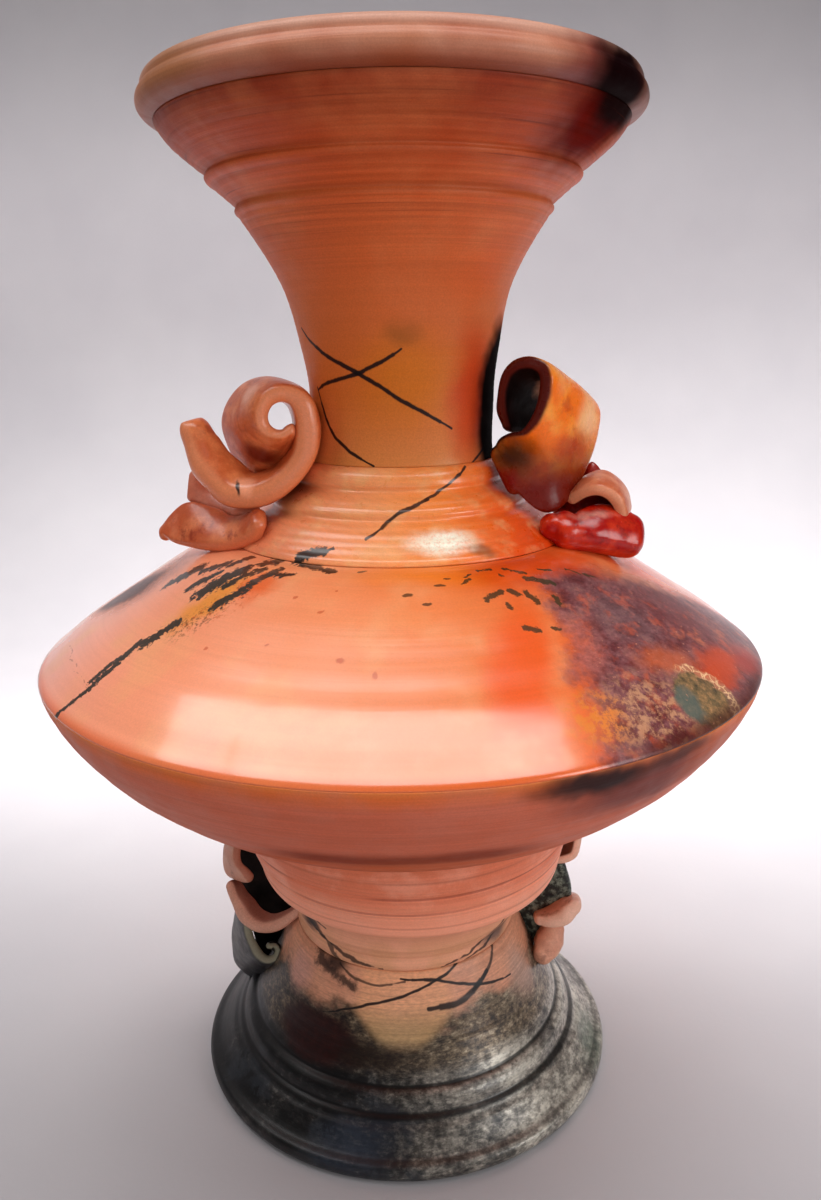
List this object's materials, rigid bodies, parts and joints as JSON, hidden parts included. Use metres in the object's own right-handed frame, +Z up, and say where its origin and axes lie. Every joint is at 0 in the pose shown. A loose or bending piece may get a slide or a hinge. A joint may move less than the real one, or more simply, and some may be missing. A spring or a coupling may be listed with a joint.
{
  "type": "terracotta vase",
  "caption": "Footed clay vase with a flared mouth, narrow neck, sharp-edged wide belly, banded cup, hollow pedestal and applied curled clay strips; holds cut or dried flowers.",
  "frame": {"origin": "centre of the foot's underside, on the surface the vase stands on", "axes": "+Z up along the vase's axis, +X to the right seen from the front, the front faces -Y"},
  "size_m": [0.254, 0.254, 0.3545],
  "materials": {
    "smoked_clay": "smoke-blackened fired clay, satin",
    "salmon_clay": "fired clay, matte salmon",
    "matte_clay": "fired clay, matte",
    "burnished_clay": "burnished fired clay, satin sheen",
    "red_clay": "fired clay, red-brown with black hair lines",
    "strip_clay": "applied clay strip, satin",
    "strip_dark": "smoke-blackened clay strip",
    "strip_tan": "applied clay strip, tan, matte"
  },
  "bodies": {
    "root": {"pedestal": "smoked_clay", "stem_cup": "salmon_clay", "lower_bowl": "matte_clay", "shoulder": "burnished_clay", "collar": "burnished_clay", "neck": "red_clay", "rim": "red_clay", "upper_left_scroll": "strip_clay", "upper_left_leaf": "strip_clay", "upper_left_web": "strip_clay", "upper_right_curl": "strip_clay", "upper_right_base": "strip_clay", "upper_right_arch": "strip_clay", "upper_right_tongue": "strip_clay", "lower_left_upper_fold": "strip_tan", "lower_left_mid_fold": "strip_tan", "lower_left_scroll": "strip_dark", "lower_left_back_sheet": "strip_dark", "lower_right_upper_fold": "strip_tan", "lower_right_sheet": "strip_dark", "lower_right_mid_fold": "strip_tan", "lower_right_tongue": "strip_tan"}
  },
  "joints": []
}
